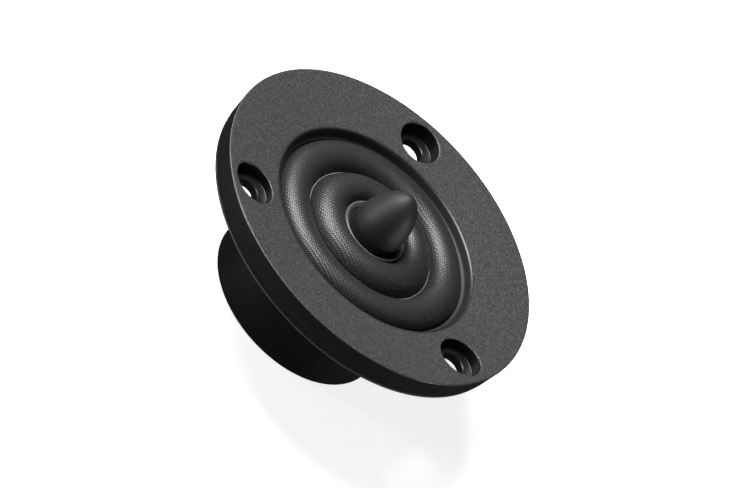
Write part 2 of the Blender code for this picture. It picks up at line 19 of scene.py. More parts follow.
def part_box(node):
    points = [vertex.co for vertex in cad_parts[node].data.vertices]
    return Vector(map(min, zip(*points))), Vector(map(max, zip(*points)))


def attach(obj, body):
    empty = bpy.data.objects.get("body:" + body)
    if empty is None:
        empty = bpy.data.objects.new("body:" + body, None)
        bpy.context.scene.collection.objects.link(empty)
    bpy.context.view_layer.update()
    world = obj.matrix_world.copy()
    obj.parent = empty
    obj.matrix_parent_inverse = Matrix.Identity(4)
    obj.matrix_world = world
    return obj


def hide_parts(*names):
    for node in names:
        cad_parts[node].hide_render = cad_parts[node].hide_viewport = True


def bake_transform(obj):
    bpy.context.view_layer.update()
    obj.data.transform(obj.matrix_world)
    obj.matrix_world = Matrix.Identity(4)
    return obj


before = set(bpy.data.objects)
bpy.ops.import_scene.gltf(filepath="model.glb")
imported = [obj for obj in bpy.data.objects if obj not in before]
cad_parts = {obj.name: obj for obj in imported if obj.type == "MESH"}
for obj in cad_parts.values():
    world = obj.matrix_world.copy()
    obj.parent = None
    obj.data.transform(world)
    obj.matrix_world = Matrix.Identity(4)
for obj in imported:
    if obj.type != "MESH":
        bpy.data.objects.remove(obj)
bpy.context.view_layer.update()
MM = 0.001

# %% [markdown]
# The frame gives the box of every CAD node, so the radii and levels that the looks have to meet are read
# from it. What a box can't tell, such as how deep the face is dished, is a named value beside the piece
# that needs it.

# %% Read the main sizes
flange_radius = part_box("face_plate")[1].x
front_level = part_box("face_plate")[1].z
rim_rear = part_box("face_plate")[0].z
can_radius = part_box("rear_can")[1].x
can_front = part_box("rear_can")[1].z
diaphragm_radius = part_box("diaphragm")[1].x
print(f"flange {2 * flange_radius / MM:.1f} mm across, front level {front_level / MM:.1f} mm")

# %% [markdown]
# ## Camera, floor and light
#
# A long lens from a metre away keeps the ellipses of the round parts nearly true. The camera looks down on
# the face from a low angle and is rolled, because the part is shown lying over on its rim while its own
# frame stands it on its back. An alternative is to turn the object and keep the camera level, but the CAD
# parts stay where the frame puts them, so the camera takes the roll.

# %% Place the camera
VIEW_AZIMUTH = math.radians(46.62)
VIEW_ELEVATION = math.radians(35.52)
VIEW_ROLL = math.radians(48.18)
VIEW_DISTANCE = 1047.2 * MM
VIEW_SLIDE = (2.98 * MM, 3.36 * MM)
LENS = 295.9

back = Vector((
    math.sin(VIEW_AZIMUTH) * math.cos(VIEW_ELEVATION),
    -math.cos(VIEW_AZIMUTH) * math.cos(VIEW_ELEVATION),
    math.sin(VIEW_ELEVATION),
))
turn = (-back).to_track_quat("-Z", "Y") @ Quaternion((0, 0, 1), VIEW_ROLL)
right, up = turn @ Vector((1, 0, 0)), turn @ Vector((0, 1, 0))
aim = Vector((0, 0, front_level))

camera = bpy.data.objects.new("camera", bpy.data.cameras.new("camera"))
bpy.context.scene.collection.objects.link(camera)
camera.data.lens = LENS
camera.data.sensor_width = 36
camera.data.clip_end = 60
camera.rotation_mode = "QUATERNION"
camera.rotation_quaternion = turn
camera.location = aim + back * VIEW_DISTANCE - right * VIEW_SLIDE[0] - up * VIEW_SLIDE[1]
bpy.context.scene.camera = camera
print("camera at", [round(x, 3) for x in camera.location])

# %% [markdown]
# Nodes are laid the same way in shader trees and in geometry trees, so two short helpers serve both. The
# first adds a node, sets its own settings and fills its sockets with values or links. The second is a sum
# in one line, because patterns need a lot of arithmetic. A third helper starts a material.

# %% Helpers that lay nodes
def lay(tree, kind, sockets=None, **settings):
    """Adds a node, sets its settings, and fills its sockets with values or links."""
    node = tree.nodes.new(kind)
    for name, value in settings.items():
        setattr(node, name, value)
    for name, value in (sockets or {}).items():
        if isinstance(value, bpy.types.NodeSocket):
            tree.links.new(value, node.inputs[name])
        else:
            node.inputs[name].default_value = value
    return node


def calc(tree, operation, *terms):
    """One Math node's result."""
    return lay(tree, "ShaderNodeMath", dict(enumerate(terms)), operation=operation).outputs[0]


def new_finish(name, colour, roughness, metallic=0.0):
    """A Principled material with its even values set on the shader itself."""
    material = bpy.data.materials.new(name)
    material.use_nodes = True
    shader = material.node_tree.nodes["Principled BSDF"]
    shader.inputs["Base Color"].default_value = (*colour, 1.0)
    shader.inputs["Roughness"].default_value = roughness
    shader.inputs["Metallic"].default_value = metallic
    return material, material.node_tree, shader


# %% [markdown]
# The floor is a plain pale sheet of frosted acrylic, level with the can's rear face, and it glows a little,
# as a light table does. A black product is often shot on one: the sheet stays white without strong lamps,
# so the part itself can be lit softly and keep its blacks. Its glare is kept out of the part's reflections,
# which in a studio is done with black cards round the part.

# %% Lay the floor
FLOOR_SIZE = 40.0
FLOOR_GLOW = 0.80

floor_mesh = bpy.data.meshes.new("floor")
half = FLOOR_SIZE / 2
corners = [(-half, -half, 0), (half, -half, 0), (half, half, 0), (-half, half, 0)]
floor_mesh.from_pydata(corners, [], [(0, 1, 2, 3)])
floor = bpy.data.objects.new("floor", floor_mesh)
bpy.context.scene.collection.objects.link(floor)
acrylic, _, acrylic_shader = new_finish("frosted_acrylic", (0.80, 0.80, 0.81), 0.30)
acrylic_shader.inputs["Emission Color"].default_value = (1.0, 1.0, 1.0, 1.0)
acrylic_shader.inputs["Emission Strength"].default_value = FLOOR_GLOW
floor_mesh.materials.append(acrylic)
floor.visible_glossy = False

# %% [markdown]
# A black object is shown by what it reflects. One large soft panel, high up and somewhat on the camera's
# side, lights one flank of each roll and leaves the other darker. Two small panels level with the flange draw
# its edge on the left and below, and a weak one by the camera opens the shadows. Every panel stays above the
# floor, which would hide it otherwise. The room gives almost no light, so the shadows stay deep, but the
# camera sees its far wall as pale.

# %% Set the lights
ROOM_LIGHT = 0.02


def panel(name, towards, distance, size, power):
    """A square soft light that looks at the part from a direction in the camera's own axes."""
    lamp = bpy.data.lights.new(name, "AREA")
    lamp.size = size
    lamp.energy = power
    lit = bpy.data.objects.new(name, lamp)
    bpy.context.scene.collection.objects.link(lit)
    x, y, z = towards
    direction = (right * x + up * y + back * z).normalized()
    lit.location = aim + direction * distance
    lit.rotation_mode = "QUATERNION"
    lit.rotation_quaternion = (-direction).to_track_quat("-Z", "Y")
    lit.visible_camera = False
    return lit


panel("main_panel", (0.16, 0.86, 0.42), 0.42, 0.27, 4.7)
panel("left_panel", (-0.795, 0.415, 0.444), 0.30, 0.04, 0.60)
panel("low_panel", (0.62, -0.74, 0.05), 0.30, 0.04, 0.40)
panel("front_panel", (-0.30, 0.05, 1.0), 0.60, 0.04, 0.10)

world = bpy.data.worlds.new("pale_room")
bpy.context.scene.world = world
world.use_nodes = True
room = world.node_tree
dim = room.nodes["Background"]
dim.inputs["Color"].default_value = (0.95, 0.96, 1.0, 1.0)
dim.inputs["Strength"].default_value = ROOM_LIGHT
pale = lay(room, "ShaderNodeBackground", {"Color": (0.94, 0.94, 0.95, 1.0), "Strength": 1.0})
seen = lay(room, "ShaderNodeLightPath").outputs["Is Camera Ray"]
wall = lay(room, "ShaderNodeMixShader", {0: seen, 1: dim.outputs[0], 2: pale.outputs[0]})
room.links.new(wall.outputs[0], room.nodes["World Output"].inputs["Surface"])
bpy.context.scene.view_settings.view_transform = "Standard"

# %% [markdown]
# ## A lathe made of Geometry Nodes
#
# A turned piece is one outline carried round an axis. A Screw modifier does that too, but it gives no
# texture coordinates and no place to hang a finish. Here a grid is bent instead: its columns become steps
# round the axis, and each row takes its radius and level from one point of the outline. The outline runs
# down its outer side, as on a drawing, and the tree turns the faces to look outwards.

# %% Build the lathe tree
WELD_GAP = 0.0005 * MM


def start_tree(name, inputs):
    """A geometry tree with named inputs and its two end nodes."""
    tree = bpy.data.node_groups.new(name, "GeometryNodeTree")
    for label, kind in inputs:
        tree.interface.new_socket(label, in_out="INPUT", socket_type=kind)
    tree.interface.new_socket("Geometry", in_out="OUTPUT", socket_type="NodeSocketGeometry")
    return tree, tree.nodes.new("NodeGroupInput").outputs, tree.nodes.new("NodeGroupOutput").inputs


def end_tree(tree, geometry, material, out):
    """Every tree ends the same way: real faces, then their finish."""
    real = lay(tree, "GeometryNodeRealizeInstances", {"Geometry": geometry})
    painted = lay(tree, "GeometryNodeSetMaterial", {"Geometry": real.outputs[0], "Material": material})
    tree.links.new(painted.outputs[0], out["Geometry"])


lathe, given, out = start_tree("lathe", [
    ("Outline", "NodeSocketGeometry"),
    ("Steps", "NodeSocketInt"),
    ("Finish", "NodeSocketMaterial"),
])
count = lay(lathe, "GeometryNodeAttributeDomainSize", {"Geometry": given["Outline"]}).outputs["Point Count"]
grid = lay(lathe, "GeometryNodeMeshGrid", {
    "Vertices X": calc(lathe, "ADD", given["Steps"], 1.0),
    "Vertices Y": count,
})
index = lay(lathe, "GeometryNodeInputIndex").outputs[0]
column = calc(lathe, "FLOOR", calc(lathe, "DIVIDE", index, count))
row = calc(lathe, "SUBTRACT", index, calc(lathe, "MULTIPLY", column, count))
place = lay(lathe, "GeometryNodeInputPosition").outputs[0]
picked = lay(lathe, "GeometryNodeSampleIndex", {
    "Geometry": given["Outline"], "Index": row,
}, data_type="FLOAT_VECTOR", domain="POINT")
lathe.links.new(place, picked.inputs["Value"])
point = lay(lathe, "ShaderNodeSeparateXYZ", {0: picked.outputs["Value"]}).outputs
angle = calc(lathe, "MULTIPLY", calc(lathe, "DIVIDE", column, given["Steps"]), math.tau)
turned_place = lay(lathe, "ShaderNodeCombineXYZ", {
    "X": calc(lathe, "MULTIPLY", point["X"], calc(lathe, "COSINE", angle)),
    "Y": calc(lathe, "MULTIPLY", point["X"], calc(lathe, "SINE", angle)),
    "Z": point["Z"],
})
bent = lay(lathe, "GeometryNodeSetPosition", {
    "Geometry": grid.outputs["Mesh"], "Position": turned_place.outputs[0],
})
welded = lay(lathe, "GeometryNodeMergeByDistance", {"Geometry": bent.outputs[0], "Distance": WELD_GAP})
faced = lay(lathe, "GeometryNodeFlipFaces", {"Mesh": welded.outputs[0]})
end_tree(lathe, faced.outputs[0], given["Finish"], out)
print("lathe tree:", len(lathe.nodes), "nodes")

# %% [markdown]
# Screws and rivets repeat, so they are drawn once and copied. The second tree sets points evenly round the
# axis and puts a copy of its starting mesh on each, unturned, so a pair on a line is a ring of two.

# %% Build the tree of copies
ring_of_copies, given, out = start_tree("ring_of_copies", [
    ("Piece", "NodeSocketGeometry"),
    ("Count", "NodeSocketInt"),
    ("Radius", "NodeSocketFloat"),
    ("First", "NodeSocketFloat"),
    ("Finish", "NodeSocketMaterial"),
])
index = lay(ring_of_copies, "GeometryNodeInputIndex").outputs[0]
share = calc(ring_of_copies, "DIVIDE", index, given["Count"])
turned_by = calc(ring_of_copies, "MULTIPLY", share, math.tau)
angle = calc(ring_of_copies, "ADD", turned_by, given["First"])
spot = lay(ring_of_copies, "ShaderNodeCombineXYZ", {
    "X": calc(ring_of_copies, "MULTIPLY", calc(ring_of_copies, "COSINE", angle), given["Radius"]),
    "Y": calc(ring_of_copies, "MULTIPLY", calc(ring_of_copies, "SINE", angle), given["Radius"]),
})
points = lay(ring_of_copies, "GeometryNodePoints", {"Count": given["Count"], "Position": spot.outputs[0]})
copies = lay(ring_of_copies, "GeometryNodeInstanceOnPoints", {
    "Points": points.outputs[0], "Instance": given["Piece"],
})
end_tree(ring_of_copies, copies.outputs[0], given["Finish"], out)
print("tree of copies:", len(ring_of_copies.nodes), "nodes")

# %% [markdown]
# A modifier's inputs are found by their labels but set by their identifiers. The result is taken out as a
# plain mesh, because the exported model has no room for a live tree. Real moulded edges are never sharp:
# `soften` puts a true arc at each corner of an outline that asks for one.

# %% Helpers that run a tree and draw an outline
FINE_STEPS = 192
ARC_STEPS = 6
MOST_OF_A_SIDE = 0.49          # an arc takes less than half of each side that it joins
SHARP = math.radians(32)


def run_tree(name, start, tree, **values):
    """Runs a tree on a starting mesh and returns an object that holds the plain result."""
    piece = bpy.data.objects.new(name, start)
    bpy.context.scene.collection.objects.link(piece)
    nodes = piece.modifiers.new("made", "NODES")
    nodes.node_group = tree
    for socket in tree.interface.items_tree:
        if socket.in_out == "INPUT" and socket.name in values:
            nodes[socket.identifier] = values[socket.name]
    graph = bpy.context.evaluated_depsgraph_get()
    made = bpy.data.meshes.new_from_object(piece.evaluated_get(graph))
    piece.modifiers.clear()
    piece.data = made
    return shade(piece)


def shade(piece):
    piece.data.shade_smooth()
    piece.data.set_sharp_from_angle(angle=SHARP)
    return piece


def line_mesh(points):
    mesh = bpy.data.meshes.new("outline")
    mesh.from_pydata([(r, 0, z) for r, z in points], [(i, i + 1) for i in range(len(points) - 1)], [])
    return mesh


def soften(corners, closed=True):
    """Rounds (radius, level, round) corners with arcs. Two numbers alone are a sharp corner."""
    points = []
    for i, corner in enumerate(corners):
        here = Vector(corner[:2])
        ends = not closed and i in (0, len(corners) - 1)
        if len(corner) == 2 or ends:
            points.append(tuple(here))
            continue
        a = Vector(corners[i - 1][:2]) - here
        b = Vector(corners[(i + 1) % len(corners)][:2]) - here
        gap = a.angle(b)
        reach = min(corner[2] / math.tan(gap / 2), MOST_OF_A_SIDE * a.length, MOST_OF_A_SIDE * b.length)
        radius = reach * math.tan(gap / 2)
        a.normalize(), b.normalize()
        centre = here + (a + b).normalized() * (radius / math.sin(gap / 2))
        first, last, sweep = here + a * reach - centre, here + b * reach - centre, math.pi - gap
        for k in range(ARC_STEPS + 1):
            at = sweep * k / ARC_STEPS
            mix = first * math.sin(sweep - at) + last * math.sin(at)
            points.append(tuple(centre + mix / math.sin(sweep)))
    return points + points[:1] if closed else points


def turned(name, corners, finish, steps=FINE_STEPS, closed=True):
    """A turned piece from its outline's corners."""
    outline = soften(corners, closed)
    return run_tree(name, line_mesh(outline), lathe, Steps=steps, Finish=finish)


def carve(piece, *tools, operation="DIFFERENCE"):
    """Cuts the tools out of the piece, or melts them into it, and throws them away."""
    for tool in tools:
        cut = piece.modifiers.new(tool.name, "BOOLEAN")
        cut.operation = operation
        cut.solver = "EXACT"
        cut.object = tool
    graph = bpy.context.evaluated_depsgraph_get()
    carved = bpy.data.meshes.new_from_object(piece.evaluated_get(graph))
    piece.modifiers.clear()
    piece.data = carved
    for tool in tools:
        bpy.data.objects.remove(tool)
    return shade(piece)


def slab(name, outline, axis, low, high, finish, edge=0.0):
    """A flat outline drawn across one axis, thickened from low to high, with its edges broken."""
    shape = bmesh.new()
    flat = [list(point) for point in outline]
    for point in flat:
        point.insert(axis, low)
    side = shape.faces.new([shape.verts.new(point) for point in flat])
    grown = bmesh.ops.extrude_face_region(shape, geom=[side])
    push = Vector((0, 0, 0))
    push[axis] = high - low
    moved = [item for item in grown["geom"] if isinstance(item, bmesh.types.BMVert)]
    bmesh.ops.translate(shape, vec=push, verts=moved)
    if edge:
        bmesh.ops.bevel(shape, geom=shape.edges[:], offset=edge, segments=2, profile=0.5, affect="EDGES")
    bmesh.ops.recalc_face_normals(shape, faces=shape.faces[:])
    mesh = bpy.data.meshes.new(name)
    shape.to_mesh(mesh)
    shape.free()
    mesh.materials.append(finish)
    piece = bpy.data.objects.new(name, mesh)
    bpy.context.scene.collection.objects.link(piece)
    return shade(piece)


def join(piece, *others):
    """Melts the others into the piece."""
    return carve(piece, *others, operation="UNION")


def stand_for(piece, body, slot, *nodes):
    """Ties the piece to its body and puts it in the place of CAD nodes. The slot is not used."""
    tell(piece)
    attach(piece, body)
    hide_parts(*nodes)


def tell(piece):
    low, high = (Vector(c) for c in (piece.bound_box[0], piece.bound_box[6]))
    size = " x ".join(f"{x / MM:.2f}" for x in high - low)
    print(f"{piece.name}: {len(piece.data.polygons)} faces, {size} mm")


# %% [markdown]
# ## Finishes
#
# Most finishes here share one recipe: a noise that tints the colour a little, the same noise in the
# roughness, and a finer noise as relief. `mottle` lays it on a shader, in the object's own coordinates, so
# the pattern stays put from every side. The finishes that need more are built on top of it.

# %% The shared recipe
def object_place(tree, stretch=(1.0, 1.0, 1.0)):
    """Object coordinates, stretched along an axis for drawn or brushed surfaces."""
    where = lay(tree, "ShaderNodeTexCoord").outputs["Object"]
    return lay(tree, "ShaderNodeMapping", {"Vector": where, "Scale": stretch}).outputs[0]


def noise(tree, where, scale, detail=3.0):
    return lay(tree, "ShaderNodeTexNoise", {
        "Vector": where, "Scale": scale, "Detail": detail, "Roughness": 0.6,
    }).outputs["Fac"]


def blend_colours(tree, share, low, high):
    """A colour between two, given as colours or links."""
    sockets = {0: share}
    for slot, value in ((6, low), (7, high)):
        sockets[slot] = value if isinstance(value, bpy.types.NodeSocket) else (*value, 1.0)
    return lay(tree, "ShaderNodeMix", sockets, data_type="RGBA").outputs[2]


def mottle(tree, shader, colour, spread, roughness, size, relief, stretch=(1.0, 1.0, 1.0)):
    """Colour and roughness vary by spread round their values; relief is the height of the fine grain."""
    where = object_place(tree, stretch)
    coarse = noise(tree, where, 1 / size)
    low = tuple(c * (1 - spread) for c in colour)
    high = tuple(min(1.0, c * (1 + spread)) for c in colour)
    tint = blend_colours(tree, coarse, low, high)
    tree.links.new(tint, shader.inputs["Base Color"])
    rough = lay(tree, "ShaderNodeMapRange", {
        "Value": coarse, "To Min": roughness * (1 - spread), "To Max": min(1.0, roughness * (1 + spread)),
    })
    tree.links.new(rough.outputs[0], shader.inputs["Roughness"])
    fine = noise(tree, where, 4 / size)
    bump = lay(tree, "ShaderNodeBump", {"Height": fine, "Distance": relief, "Strength": 1.0})
    tree.links.new(bump.outputs[0], shader.inputs["Normal"])
    return bump


def mottled(name, colour, spread, roughness, size, relief, metallic=0.0, stretch=(1.0, 1.0, 1.0)):
    material, tree, shader = new_finish(name, colour, roughness, metallic)
    mottle(tree, shader, colour, spread, roughness, size, relief, stretch)
    return material, shader


# %% [markdown]
# The face plate is moulded with a fine spark-eroded grain on its front only. The recess wall, the holes and
# the side are smooth. The grain is a mask worked out from the radius and the level of each point, which
# keeps one piece and one finish, and lets the grain fade out over the recess lip as on the real tool.

# %% Finish of the face plate
LIP_RADIUS = 21.0 * MM
LIP_FADE = 0.8 * MM
GRAIN_SIZE = 0.20 * MM
GRAIN_RELIEF = 0.050 * MM
GRAIN_ROUGHNESS = 0.38
SMOOTH_ROUGHNESS = 0.32
# grain colours: a random tone for each cell, with painted glints on the peaks and painted shade in the pits
GRAIN_AND_GLINT_COLOURS = (0.028, 0.028, 0.029), (0.078, 0.080, 0.082)
GRAIN_GLINT_CONTRAST = 1.3
PIT_SHARE = 0.35
PEAK_ROUGHNESS = 0.10         # added on the grain's peaks
WALL_ROUGHNESS = 0.28         # added on the wall of the recess
SMOOTH_COLOURS = (0.003, 0.003, 0.004), (0.006, 0.006, 0.007)
SMOOTH_FLOW = 6 * MM
FACE_DISH = 1.5 * MM
EDGE_ROUND = 0.15 * MM


def face_finish():
    material, tree, shader = new_finish("grained_face_plastic", (0.050, 0.051, 0.052), 0.5)
    shader.inputs["Specular IOR Level"].default_value = 0.5
    where = object_place(tree)
    axes = lay(tree, "ShaderNodeSeparateXYZ", {0: where}).outputs
    radius = calc(tree, "SQRT", calc(tree, "ADD", calc(tree, "MULTIPLY", axes["X"], axes["X"]),
                                     calc(tree, "MULTIPLY", axes["Y"], axes["Y"])))
    inside = lay(tree, "ShaderNodeMapRange", {
        "Value": radius, "From Min": LIP_RADIUS, "From Max": LIP_RADIUS + LIP_FADE,
    }, interpolation_type="SMOOTHSTEP").outputs[0]
    from_edge = calc(tree, "SUBTRACT", flange_radius, radius)
    fall = calc(tree, "MULTIPLY", from_edge, FACE_DISH / (flange_radius - LIP_RADIUS))
    level = calc(tree, "SUBTRACT", front_level - EDGE_ROUND, fall)
    mask = calc(tree, "MULTIPLY", inside, calc(tree, "GREATER_THAN", axes["Z"], level))
    cells = lay(tree, "ShaderNodeTexVoronoi", {"Vector": where, "Scale": 1 / GRAIN_SIZE, "Randomness": 1.0})
    lot = lay(tree, "ShaderNodeSeparateColor", {0: cells.outputs["Color"]}).outputs[0]
    dome = calc(tree, "SUBTRACT", 1.0, cells.outputs["Distance"])
    pits = noise(tree, where, 0.5 / GRAIN_SIZE, 2.0)
    grain = calc(tree, "ADD", calc(tree, "MULTIPLY", dome, lot), calc(tree, "MULTIPLY", pits, PIT_SHARE))
    # The grain's height sets its colour. Peaks are painted lighter as painted glints and pits darker as
    # painted shade, over a random tone for each cell.
    peak_glint = lay(tree, "ShaderNodeMapRange", {
        "Value": grain, "From Min": 0.25, "From Max": 0.95, "To Min": 0.0, "To Max": 1.0,
    }).outputs[0]
    grain_and_glint = blend_colours(tree, calc(tree, "POWER", peak_glint, GRAIN_GLINT_CONTRAST), *GRAIN_AND_GLINT_COLOURS)
    smooth = blend_colours(tree, noise(tree, where, 1 / SMOOTH_FLOW), *SMOOTH_COLOURS)
    tree.links.new(blend_colours(tree, mask, smooth, grain_and_glint), shader.inputs["Base Color"])
    rough = lay(tree, "ShaderNodeMapRange", {
        "Value": mask, "To Min": SMOOTH_ROUGHNESS, "To Max": GRAIN_ROUGHNESS,
    })
    walls = calc(tree, "MULTIPLY", calc(tree, "LESS_THAN", radius, LIP_RADIUS), WALL_ROUGHNESS)
    uneven = calc(tree, "ADD", calc(tree, "MULTIPLY", peak_glint, PEAK_ROUGHNESS), walls)
    tree.links.new(calc(tree, "ADD", rough.outputs[0], uneven), shader.inputs["Roughness"])
    bump = lay(tree, "ShaderNodeBump", {
        "Height": calc(tree, "MULTIPLY", grain, mask), "Distance": GRAIN_RELIEF, "Strength": 1.0,
    })
    tree.links.new(bump.outputs[0], shader.inputs["Normal"])
    return material


grained_face = face_finish()
print("face finish:", grained_face.name)

# %% [markdown]
# The diaphragm is a fine woven cloth, pressed to shape and coated with a dark resin. Its weave is a plain
# one: each thread goes over one and under the next. Two ranks of half-round threads, swapped in a
# checkerboard, give that relief. The pattern is laid flat along the axis, as the cloth was before it was
# pressed, so it needs no unwrapping and it runs on without a seam from one part of the skin to the next.

# %% Finish of the diaphragm
THREAD_PITCH = 0.34 * MM
THREAD_RELIEF = 0.040 * MM
WEAVE_TURN = math.radians(12)
# weave colours: painted glints on the thread tops, painted shade in the grooves between them
WEAVE_GLINT_AND_SHADE_COLOURS = (0.001, 0.001, 0.001), (0.030, 0.030, 0.031)
RESIN_SPOT = 0.45 * MM
RESIN_SHARE = 0.4             # how much the resin's spots count against the threads


def weave_finish():
    material, tree, shader = new_finish("coated_weave", (0.06, 0.06, 0.061), 0.5)
    where = lay(tree, "ShaderNodeTexCoord").outputs["Object"]
    flat = lay(tree, "ShaderNodeMapping", {"Vector": where, "Rotation": (0, 0, WEAVE_TURN)}).outputs[0]
    axes = lay(tree, "ShaderNodeSeparateXYZ", {0: flat}).outputs
    ridges = {}
    for axis in ("X", "Y"):
        phase = calc(tree, "MULTIPLY", axes[axis], math.pi / THREAD_PITCH)
        ridges[axis] = calc(tree, "ABSOLUTE", calc(tree, "SINE", phase))
    level = lay(tree, "ShaderNodeCombineXYZ", {"X": axes["X"], "Y": axes["Y"]}).outputs[0]
    over = lay(tree, "ShaderNodeTexChecker", {"Vector": level, "Scale": 1 / THREAD_PITCH}).outputs["Fac"]
    under = calc(tree, "SUBTRACT", 1.0, over)
    height = calc(tree, "ADD", calc(tree, "MULTIPLY", ridges["X"], over),
                  calc(tree, "MULTIPLY", ridges["Y"], under))
    coat = noise(tree, where, 1 / RESIN_SPOT, 2.0)
    spots = lay(tree, "ShaderNodeMapRange", {"Value": coat, "From Min": 0.3, "From Max": 0.7}).outputs[0]
    threads = calc(tree, "MULTIPLY", height, 1 - RESIN_SHARE)
    threads_glint_and_resin = calc(tree, "ADD", threads, calc(tree, "MULTIPLY", spots, RESIN_SHARE))
    # Thread tops are painted lighter as painted glints and the grooves darker as painted shade, mixed with
    # random spots of resin tone.
    tree.links.new(blend_colours(tree, threads_glint_and_resin, *WEAVE_GLINT_AND_SHADE_COLOURS), shader.inputs["Base Color"])
    rough = lay(tree, "ShaderNodeMapRange", {"Value": threads_glint_and_resin, "To Min": 0.50, "To Max": 0.30}).outputs[0]
    tree.links.new(rough, shader.inputs["Roughness"])
    relief = calc(tree, "ADD", height, calc(tree, "MULTIPLY", coat, 0.5))
    bump = lay(tree, "ShaderNodeBump", {"Height": relief, "Distance": THREAD_RELIEF, "Strength": 0.8})
    tree.links.new(bump.outputs[0], shader.inputs["Normal"])
    shader.inputs["Specular IOR Level"].default_value = 0.4
    shader.inputs["Coat Weight"].default_value = 0.10
    shader.inputs["Coat Roughness"].default_value = 0.38
    return material


coated_weave = weave_finish()
print("threads to the inch:", round(25.4 * MM / THREAD_PITCH))

# %% [markdown]
# The other finishes come straight from the recipe. Plastics differ in gloss and in how visible the flow of
# the mould is. Metals get their drawn or plated look from a stretched noise. Felt and foam are rough with a
# strong relief, and the foam is darker because its cells swallow light.

# %% Finishes from the recipe
satin_plug, _ = mottled("satin_plug_plastic", (0.005, 0.005, 0.006), 0.12, 0.62, 1.6 * MM, 0.004 * MM)
# The ring's grey, much lighter than the black plug, is a painted highlight that helps its rim show as a
# bright line.
ring_painted_highlight, _ = mottled("ring_plastic_painted_highlight", (0.080, 0.080, 0.082), 0.10, 0.26, 2.0 * MM, 0.001 * MM)
chassis_plastic, _ = mottled(
    "moulded_chassis_plastic", (0.022, 0.022, 0.023),
    0.20, 0.46, 1.2 * MM, 0.010 * MM,
)
can_paint, can_shader = mottled("smooth_can_paint", (0.003, 0.003, 0.003), 0.10, 0.40, 9.0 * MM, 0.0 * MM)
cell_foam, _ = mottled("closed_cell_foam", (0.018, 0.018, 0.018), 0.45, 0.85, 0.35 * MM, 0.060 * MM)
wool_felt, _ = mottled(
    "wool_felt", (0.150, 0.148, 0.140),
    0.40, 0.90, 0.30 * MM, 0.080 * MM, 0.0, (1, 1, 3),
)
zinc_steel, _ = mottled(
    "zinc_plated_steel", (0.56, 0.57, 0.58),
    0.10, 0.32, 0.9 * MM, 0.003 * MM, 1.0, (1, 1, 8),
)
nickel_plate, _ = mottled("nickel_plate", (0.62, 0.60, 0.56), 0.06, 0.22, 1.1 * MM, 0.001 * MM, 1.0)
copper_sleeve, _ = mottled(
    "drawn_copper", (0.72, 0.32, 0.16),
    0.10, 0.34, 0.8 * MM, 0.002 * MM, 1.0, (1, 1, 10),
)
copper_wire, wire_shader = mottled(
    "enamelled_copper", (0.60, 0.22, 0.09),
    0.12, 0.28, 0.5 * MM, 0.001 * MM, 1.0,
)
rolled_foil, _ = mottled(
    "rolled_foil", (0.80, 0.80, 0.81),
    0.06, 0.36, 0.7 * MM, 0.002 * MM, 1.0, (1, 1, 12),
)
black_oxide, _ = mottled("black_oxide", (0.025, 0.025, 0.027), 0.25, 0.38, 0.5 * MM, 0.004 * MM, 1.0)
paper_laminate, _ = mottled(
    "paper_laminate", (0.190, 0.085, 0.035),
    0.25, 0.52, 0.9 * MM, 0.006 * MM, 0.0, (1, 6, 1),
)
tin_plate, _ = mottled("tin_plate", (0.74, 0.72, 0.66), 0.08, 0.30, 0.8 * MM, 0.002 * MM, 1.0, (6, 1, 1))
# The resin's pale grey is a painted highlight: the bright line along the valley.
seam_resin_painted_highlight, _ = mottled("seam_resin_painted_highlight", (0.170, 0.170, 0.173), 0.15, 0.50, 0.8 * MM, 0.004 * MM)
can_shader.inputs["Specular IOR Level"].default_value = 0.3
wire_shader.inputs["Coat Weight"].default_value = 0.8
wire_shader.inputs["Coat Roughness"].default_value = 0.10
print("finishes:", len(bpy.data.materials))

# %% [markdown]
# ## Pieces that show
#
# The face plate is one turned ring with holes cut through it. Its outline holds the dished face, the soft
# lip and hollow wall of the recess, the drafted side and the seats behind. The screw holes are stepped
# cutters, and a second, tilted cutter rounds each rim where it meets the sloping face.

# %% Shape the face plate
FACE_SLOPE_STEPS = 6
LIP_MARGIN = 1.2 * MM         # the face's straight points stay clear of the two rounded edges
EDGE_MARGIN = 0.6 * MM
WALL_FOOT = 0.6 * MM          # height of the wall's foot over the land
LAND_LEVEL = 21.41 * MM
OPENING_RADIUS = 20.05 * MM
RECESS_RADIUS = 24.25 * MM
RECESS_LEVEL = 20.91 * MM
LAND_EDGE = 21.45 * MM
RIM_DRAFT = 0.5 * MM

lip_level = front_level - FACE_DISH
rim_radius = flange_radius - RIM_DRAFT
slope = FACE_DISH / (flange_radius - LIP_RADIUS)


def face_height(radius):
    """Level of the dished face at a radius."""
    return front_level - slope * (flange_radius - radius)


slope_radii = np.linspace(LIP_RADIUS + LIP_MARGIN, flange_radius - EDGE_MARGIN, FACE_SLOPE_STEPS)
face_line = [(radius, face_height(radius)) for radius in slope_radii]
plate = turned("face_plate_fine", [
    (LIP_RADIUS, lip_level, 0.6 * MM),
    *face_line,
    (flange_radius, front_level, 0.28 * MM),
    (rim_radius, rim_rear, 0.35 * MM),
    (RECESS_RADIUS, rim_rear, 0.15 * MM),
    (RECESS_RADIUS, RECESS_LEVEL),
    (LAND_EDGE, RECESS_LEVEL),
    (LAND_EDGE, LAND_LEVEL),
    (OPENING_RADIUS, LAND_LEVEL),
    (OPENING_RADIUS, LAND_LEVEL + 0.35 * MM, 0.05 * MM),
    (LIP_RADIUS - 0.45 * MM, LAND_LEVEL + WALL_FOOT, 0.7 * MM),
], grained_face)
tell(plate)

# %% [markdown]
# The holes are placed by their circle, one of them straight down the frame's Y axis. Each stepped cutter
# has a small chamfer where the ledge meets the through hole, because that thin ring catches the light.

# %% Cut the screw holes
HOLE_CIRCLE = 27.4 * MM
HOLE_ANGLES = [math.radians(a) for a in (-90, 30, 150)]
HOLE_RADIUS = 2.2 * MM
COUNTERBORE = 4.1 * MM
LEDGE_LEVEL = 22.0 * MM
RIM_ROUND = 0.28 * MM
LEDGE_CHAMFER = 0.14 * MM
HOLE_STEPS = 72

